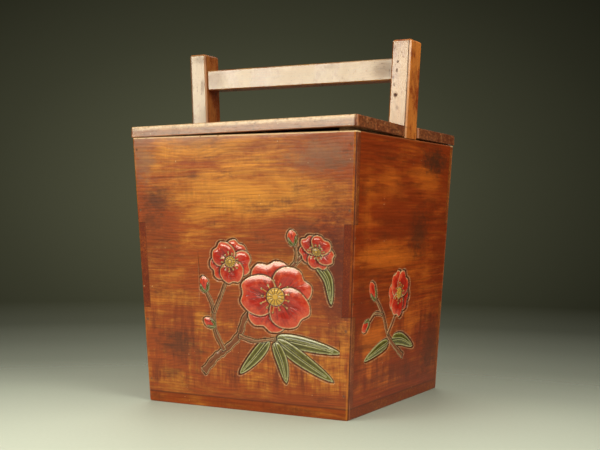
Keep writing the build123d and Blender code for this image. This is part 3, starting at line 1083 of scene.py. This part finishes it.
def dark_throat(relief, centre, radius):
    """Dark brush streaks that run out from the middle of a blossom."""
    chosen = relief.near(np.array([centre]), radius)
    x, y = (relief.points[chosen] - centre).T
    angle = np.arctan2(y, x)
    wave = np.sin(angle * 29) + np.sin(angle * 17 + 2) + np.sin(angle * 47 + 1 + x * 0.05)
    near = np.clip(1.25 - 1.6 * np.hypot(x, y) / radius, 0, 1)
    streaks = np.clip(near * 0.8 + wave / 3 * (0.15 + near * 0.6), 0, 1)
    relief.masks["throat"][chosen] = streaks * (relief.masks["petal"][chosen] > 0)


print("petal drawn with", len(petal_outline((0, 0), 20.0, 0.0)), "points")

# %% Blossom
FOLDS = ((-0.34, 0.74), (-0.14, 0.84), (0.08, 0.82), (0.3, 0.72))
STAMENS = 13


def blossom(relief, centre, radius, turn=0.3, squash=0.92, lean=0.0, order=(0, 2, 4, 1, 3)):
    """Five petals that overlap, folds in each, and a boss of stamens."""
    centre = np.array(centre, float)

    def at(far, angle):
        place = np.array((far * math.cos(angle), far * math.sin(angle) * squash))
        return place @ turned(lean) + centre

    for number in order:
        angle = turn + number * math.tau / 5
        outline = petal_outline(centre, radius, angle, squash, lean)
        cut_form(
            relief, outline, "petal", groove=1.6, sink=1.9, shoulder=radius * 0.24, hollow=0.6
        )
        for spread, length in FOLDS:
            fold = [at(radius * r, angle + spread * r) for r in (0.32, 0.5, length)]
            cut_line(relief, smooth_line(fold), 0.5, 0.35)
    dark_throat(relief, centre, radius * 1.1)
    boss = smooth_line(ring_of(lambda a: at(radius * 0.25, a), 12), closed=True, steps=4)
    cut_form(relief, boss, "stamen", groove=1.2, shoulder=3.4, rim=0.7)
    for number in range(STAMENS):
        angle = number * math.tau / STAMENS + 0.1
        tip = radius * (0.44 if number % 2 else 0.38)
        thread = np.array([at(radius * 0.08, angle), at(radius * 0.24, angle)])
        cut_line(relief, thread, 0.5, 0.5, False)
        thread = np.array([at(radius * 0.27, angle), at(tip, angle)])
        cut_line(relief, thread, 0.5, -0.25, False, "stamen")
        end = at(tip, angle)
        anther = ring_of(lambda a: end + 0.9 * np.array((math.cos(a), math.sin(a))), 8)
        cut_form(relief, np.array(anther), "stamen", 0.5, sink=0.7, shoulder=0.8, rim=0.3)


print("blossom with", len(FOLDS), "folds a petal and", STAMENS, "stamens")

# %% [markdown]
# ## Buds and twigs
# A closed bud is a pointed oval held by two small sepals. The twig tapers and swells a
# little along its length, and short cuts across it stand for the bark.

# %% Bud
def bud(relief, stalk, tip, wide):
    """A closed bud held by two small sepals."""
    stalk, tip = np.array(stalk, float), np.array(tip, float)
    ahead = tip - stalk

    def body(t):
        return wide * math.sin(math.pi * min(t * 0.96 + 0.04, 1)) ** 0.6 + 0.05

    def sepal_width(t):
        return 1.5 * math.sin(math.pi * (t * 0.9 + 0.08)) + 0.05

    outline = band(np.linspace(stalk, tip, 12), body)
    cut_form(relief, outline, "petal", groove=1.2, sink=1.3, shoulder=wide * 0.8, rim=0.8)
    fold = [stalk + ahead * 0.35 + (0.0, wide * 0.2), tip - ahead * 0.1]
    cut_line(relief, np.array(fold), 0.5, 0.35)
    side = np.array((-ahead[1], ahead[0])) / np.linalg.norm(ahead)
    for turn in (-1, 1):
        sepal = smooth_line([
            stalk - ahead * 0.12,
            stalk + ahead * 0.12 + side * turn * wide * 0.55,
            stalk + ahead * 0.5 + side * turn * wide * 0.75,
        ])
        cut_form(
            relief, band(sepal, sepal_width), "leaf", groove=0.8, sink=1.0, shoulder=1.2, rim=0.5
        )


print("bud ready")

# %% Twig
def branch(relief, points, thick, thin, knots=()):
    """A twig that tapers, with short cuts for its bark."""
    spine = smooth_line(points)
    total = np.linalg.norm(np.diff(spine, axis=0), axis=1).sum()

    def half_width(t):
        return (thick + (thin - thick) * t) * (1 + 0.12 * math.sin(t * total * 0.55))

    outline = band(spine, half_width)
    cut_form(relief, outline, "twig", groove=1.2, sink=1.3, shoulder=thick, rim=0.7)
    for knot in knots:
        start = int(knot * (len(spine) - 4))
        cut_line(relief, spine[start:start + 4] + (0.2, 0.3), 0.6, 0.4)


print("twig ready")

# %% [markdown]
# ## Front carving
# A branch rises from the lower left towards the upper right. The open blossom sits in
# front of it, right of the middle, with a smaller one on each side above it, and bamboo
# leaves cross behind and below. What lies behind is cut first, because each later form
# takes its place from the one before.

# %% Front design
def carve_front(relief):
    """Plum blossom, buds and bamboo leaves on the front board."""
    bamboo_leaf(relief, [(36, 70), (66, 66), (102, 60)], 8.4)
    bamboo_leaf(relief, [(36, 68), (62, 52), (94, 34)], 8.8)
    bamboo_leaf(relief, [(34, 66), (42, 48), (46, 29)], 7.6)
    bamboo_leaf(relief, [(28, 68), (14, 52), (-4, 34)], 7.8)
    bamboo_leaf(relief, [(78, 140), (90, 126), (93, 103)], 6.2)
    stem = [(-44, 33), (-30, 48), (-20, 55), (-4, 70), (4, 88), (24, 108), (44, 124)]
    branch(relief, stem + [(60, 142), (74, 152)], 3.6, 1.8, (0.08, 0.2, 0.3, 0.42, 0.62, 0.8))
    branch(relief, [(-20, 55), (-30, 74), (-32, 96), (-40, 112)], 2.1, 1.1, (0.3, 0.7))
    branch(relief, [(-4, 70), (14, 66), (34, 69)], 1.7, 1.1)
    branch(relief, [(58, 140), (59, 150), (56, 159)], 1.4, 1.0)
    branch(relief, [(-31, 90), (-22, 108), (-16, 122)], 1.4, 1.0)
    bud(relief, (56, 157), (53, 170), 5.4)
    bud(relief, (-40, 111), (-43, 125), 5.6)
    bud(relief, (-31, 78), (-43, 84), 4.8)
    blossom(relief, (-12, 139), 23.0, turn=0.9, squash=0.90, lean=0.2)
    blossom(relief, (79, 150), 18.5, turn=0.2, squash=0.82, lean=-0.5, order=(3, 4, 2, 0, 1))
    blossom(relief, (36, 108), 38.0, turn=0.45, squash=0.88, lean=0.1, order=(1, 3, 0, 2, 4))


print("front design drawn")

# %% [markdown]
# ## Right carving
# The right board has a smaller sprig of the same plum: one open blossom, two buds and a
# pair of leaves at the foot of the twig.

# %% Right design
def carve_right(relief):
    """A small plum sprig on the right board."""
    bamboo_leaf(relief, [(-16, 64), (8, 62), (38, 52)], 8.2)
    bamboo_leaf(relief, [(-24, 62), (-46, 58), (-78, 50)], 7.4)
    stem = [(12, 45), (-8, 56), (-28, 70), (-42, 90), (-62, 108)]
    branch(relief, stem, 2.6, 1.4, (0.2, 0.5, 0.8))
    branch(relief, [(-28, 70), (-14, 86), (-6, 98)], 1.6, 1.2)
    branch(relief, [(-42, 90), (-60, 92), (-74, 84)], 1.4, 1.1)
    bud(relief, (-73, 85), (-87, 78), 5.4)
    bud(relief, (-61, 107), (-74, 122), 6.4)
    blossom(relief, (-4, 108), 25.0, turn=0.7, squash=0.92, lean=0.1, order=(2, 4, 1, 3, 0))


print("right design drawn")

# %% [markdown]
# ## What each carved board is like
# The field is the part of the face that the design covers, along the board and up it, and
# the step is how far its points are apart: fine enough for the narrowest vein. The rest
# is the board's own wood, its rubbed places and its gloss. The front shines more than
# the side in the photograph.

# %% Plans of the carved boards
CARVED = {
    "front_board": {
        "facing": "Y", "field": (-46.0, 101.0, 27.0, 173.0), "step": 0.5,
        "design": carve_front, "seed": 1, "pith": (430, 60), "gold": 0.34,
        "patches": FRONT_GOLD, "stains": FRONT_STAINS, "combs": FRONT_COMBS,
        "gloss": 1.0, "shine": 0.30,
    },
    "right_board": {
        "facing": "X", "field": (-98.0, 40.0, 42.0, 136.0), "step": 0.5,
        "design": carve_right, "seed": 3, "pith": (196, 40), "gold": 0.32,
        "patches": SIDE_GOLD, "stains": SIDE_STAINS, "combs": (),
        "gloss": 0.6, "shine": 0.16,
    },
}
WINDOW_MARGIN = 1.4


def on_wall(facing, along, up, depth=0.0):
    """Places in metres on a wall, from mm along and up it and into it."""
    out = reach(up) - depth
    if facing == "Y":
        return np.column_stack((along, -out, up)) * MM
    return np.column_stack((out, along, up)) * MM


print("plans for", ", ".join(CARVED))

# %% [markdown]
# ## Carving the field
# A grid the size of the field is laid on the leaning face of the wall, and each of its
# points is pushed in by the depth that the design gives it. Real relief is better here
# than a bump, because the light of the low lamp rakes over it and the grooves show from
# the side as well.

# %% Carved field
def carved_field(name, plan):
    """A fine grid on the wall, lowered by the design."""
    left, right, low, high = plan["field"]
    wide, tall = right - left, high - low
    turn = (math.pi / 2, 0, 0 if plan["facing"] == "Y" else math.pi / 2)
    middle = on_wall(plan["facing"], np.array([(left + right) / 2]), np.array([(low + high) / 2]))
    bpy.ops.object.select_all(action="DESELECT")
    bpy.ops.mesh.primitive_grid_add(
        x_subdivisions=round(wide / plan["step"]),
        y_subdivisions=round(tall / plan["step"]),
        size=1,
        location=middle[0],
        rotation=turn,
    )
    field = bpy.context.object
    field.scale = (wide * MM, tall * MM, 1)
    bpy.ops.object.transform_apply(location=True, rotation=True, scale=True)
    count = len(field.data.vertices)
    flat = np.empty(count * 3)
    field.data.vertices.foreach_get("co", flat)
    flat = flat.reshape(-1, 3) / MM
    along = flat[:, 0] if plan["facing"] == "Y" else flat[:, 1]
    up = flat[:, 2]
    relief = Relief(np.column_stack((along, up)))
    plan["design"](relief)
    depth = np.clip(relief.depth, 0, DEEPEST)
    field.data.vertices.foreach_set("co", on_wall(plan["facing"], along, up, depth).ravel())
    for mask, values in relief.masks.items():
        attribute = field.data.attributes.new(mask, "FLOAT", "POINT")
        attribute.data.foreach_set("value", values.astype(np.float32))
    print(name, count, "points, deepest cut", round(float(depth.max()), 2), "mm")
    return field


fields = {name: carved_field(name, plan) for name, plan in CARVED.items()}

# %% [markdown]
# ## Making room in the board
# The rest of the board keeps its shape. A copy of it gets four straight cuts round the
# place of the field, and the faces between the cuts come out, which leaves a window a
# little larger than the field.

# %% Board with a window
def choose(active, *others):
    """Select some objects and nothing else, the first of them active."""
    bpy.ops.object.select_all(action="DESELECT")
    for chosen in (active, *others):
        chosen.select_set(True)
    bpy.context.view_layer.objects.active = active


def board_with_window(name, plan):
    """A copy of the CAD board with an opening in its face for the carved field."""
    left, right, low, high = plan["field"]
    left, right = left - WINDOW_MARGIN, right + WINDOW_MARGIN
    low, high = low - WINDOW_MARGIN, high + WINDOW_MARGIN
    across = (1, 0, 0) if plan["facing"] == "Y" else (0, 1, 0)
    board = nodes[name].copy()
    board.data = nodes[name].data.copy()
    board.parent = None
    board.name = name.replace("board", "carved_board")
    bpy.context.collection.objects.link(board)
    choose(board)
    bpy.ops.object.mode_set(mode="EDIT")
    bpy.ops.mesh.select_all(action="SELECT")
    bpy.ops.mesh.remove_doubles(threshold=0.00001)
    cuts = [(tuple(c * at * MM for c in across), across) for at in (left, right)]
    cuts += [((0, 0, at * MM), (0, 0, 1)) for at in (low, high)]
    for point, normal in cuts:
        bpy.ops.mesh.select_all(action="SELECT")
        bpy.ops.mesh.bisect(plane_co=point, plane_no=normal)
    bpy.ops.mesh.select_all(action="DESELECT")
    bpy.ops.object.mode_set(mode="OBJECT")
    for face in board.data.polygons:
        centre = face.center / MM
        along = centre.x if plan["facing"] == "Y" else centre.y
        out = -centre.y if plan["facing"] == "Y" else centre.x
        on_face = abs(out - reach(centre.z)) < 0.02
        face.select = on_face and left < along < right and low < centre.z < high
    bpy.ops.object.mode_set(mode="EDIT")
    bpy.ops.mesh.delete(type="FACE")
    bpy.ops.object.mode_set(mode="OBJECT")
    print(board.name, len(board.data.polygons), "faces round its window")
    return board


windows = {name: board_with_window(name, plan) for name, plan in CARVED.items()}

# %% [markdown]
# ## Setting the carving in
# The carved field and the board become one piece, and the narrow strip between them is
# filled, so that the seam is closed and lies flat in the face. The rounded arrises and
# the carving are shaded smooth, and faces that meet at a steep angle stay sharp. The
# piece then stands for the plain board, which is hidden.

# %% Closing the seam
def carved_board(name, board, field):
    """Set the carved field in the window and close the seam between them."""
    choose(board, field)
    bpy.ops.object.join()
    bpy.ops.object.mode_set(mode="EDIT")
    bpy.ops.mesh.select_mode(type="EDGE")
    bpy.ops.mesh.select_all(action="DESELECT")
    bpy.ops.mesh.select_non_manifold(
        use_wire=False, use_multi_face=False, use_non_contiguous=False, use_verts=False
    )
    bpy.ops.mesh.fill(use_beauty=True)
    bpy.ops.mesh.select_all(action="SELECT")
    bpy.ops.mesh.normals_make_consistent(inside=False)
    bpy.ops.object.mode_set(mode="OBJECT")
    bpy.ops.mesh.customdata_custom_splitnormals_clear()
    bpy.ops.object.shade_smooth_by_angle(angle=math.radians(60))
    bpy.ops.object.modifier_add(type="WEIGHTED_NORMAL")
    board.modifiers[-1].keep_sharp = True
    board.modifiers[-1].weight = 100
    bpy.ops.object.modifier_apply(modifier=board.modifiers[-1].name)
    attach(board, "box")
    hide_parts(name)


for name, board in windows.items():
    carved_board(name, board, fields[name])
    print(board.name, len(board.data.polygons), "faces")

# %% [markdown]
# ## Paint
# The forms are painted with lacquer: vermilion petals, olive leaves, ochre stamens and a
# brown twig. Wiping has taken the colour off the raised rims, which show pale, and the
# grooves and the edges beside them are darkened as painted shade. The notes that the
# carving left on the points say what is what.

# %% Paint colours
VERMILION = rgb(182, 34, 16)
LIGHT_VERMILION = rgb(214, 84, 52)
DEEP_RED = rgb(92, 20, 12)
OLIVE = rgb(78, 74, 18)
LIGHT_OLIVE = rgb(110, 104, 42)
OCHRE = rgb(206, 156, 62)
TWIG_BROWN = rgb(126, 70, 42)
RIM_PALE = rgb(236, 198, 150)
RIM_LEAF = rgb(214, 206, 154)
# Dark of the grooves: painted shade.
GROOVE_SHADE = rgb(38, 18, 9)


def painted(place, colour, rough):
    """Paint the carved forms over the wood; paint is smoother and has more coat."""
    def mask(name):
        return place.node("ShaderNodeAttribute", {}, output="Fac", attribute_name=name)

    x, y, up = split(place)
    brush = noise(vector(x * 0.16, y * 0.16, up * 0.16), 4.0, 0.65)
    worn = noise(vector(x * 0.5, y * 0.5, up * 0.5), 4.0, 0.7)
    depth_of_paint = ease(mask("heart") + (brush - 0.5) * 1.3, -0.10, 0.50)
    red = blend(depth_of_paint, LIGHT_VERMILION, VERMILION)
    red = blend(mask("throat") * ease(brush, 0.30, 0.55) * 0.75, red, DEEP_RED)
    green = blend(depth_of_paint, LIGHT_OLIVE, OLIVE)
    colour = blend(mask("lip") * ease(worn, 0.35, 0.60) * 0.55, colour, RIM_PALE)
    for name, paint in (("petal", red), ("leaf", green), ("twig", TWIG_BROWN), ("stamen", OCHRE)):
        colour = blend(mask(name), colour, paint)
    worn_and_highlit = ease(worn, 0.28, 0.50) * mask("rim")
    colour = blend(worn_and_highlit * (1 - mask("leaf")) * 0.9, colour, RIM_PALE)
    colour = blend(worn_and_highlit * mask("leaf") * 0.9, colour, RIM_LEAF)
    # Painted shade: the grooves, veins and the edges beside them go dark.
    colour = blend(mask("cut") * 0.9, colour, GROOVE_SHADE)
    covered = mask("petal") + mask("leaf") + mask("stamen")
    return colour, rough + mask("cut") * 0.2 - covered * 0.10, covered * 0.5 + 0.18


print("paint mixed")

# %% [markdown]
# ## Finish of the carved boards
# The carved boards get the same lacquer and wear as the plain walls, then the paint, and
# a clear coat that is thicker over the paint than over the bare lacquer.

# %% Finishing the carved boards
FOR_THE_WOOD = ("facing", "seed", "pith", "gold", "patches", "stains", "combs")

for name, board in windows.items():
    plan = CARVED[name]
    wood = [plan[key] for key in FOR_THE_WOOD]
    material, surface, place, colour, rough, height = wall_finish(name, *wood)
    colour, rough, coat = painted(place, colour, rough)
    board.data.materials.clear()
    board.data.materials.append(
        finish(material, surface, colour, rough, height, coat * plan["gloss"], plan["shine"])
    )
    print(board.name, "painted")
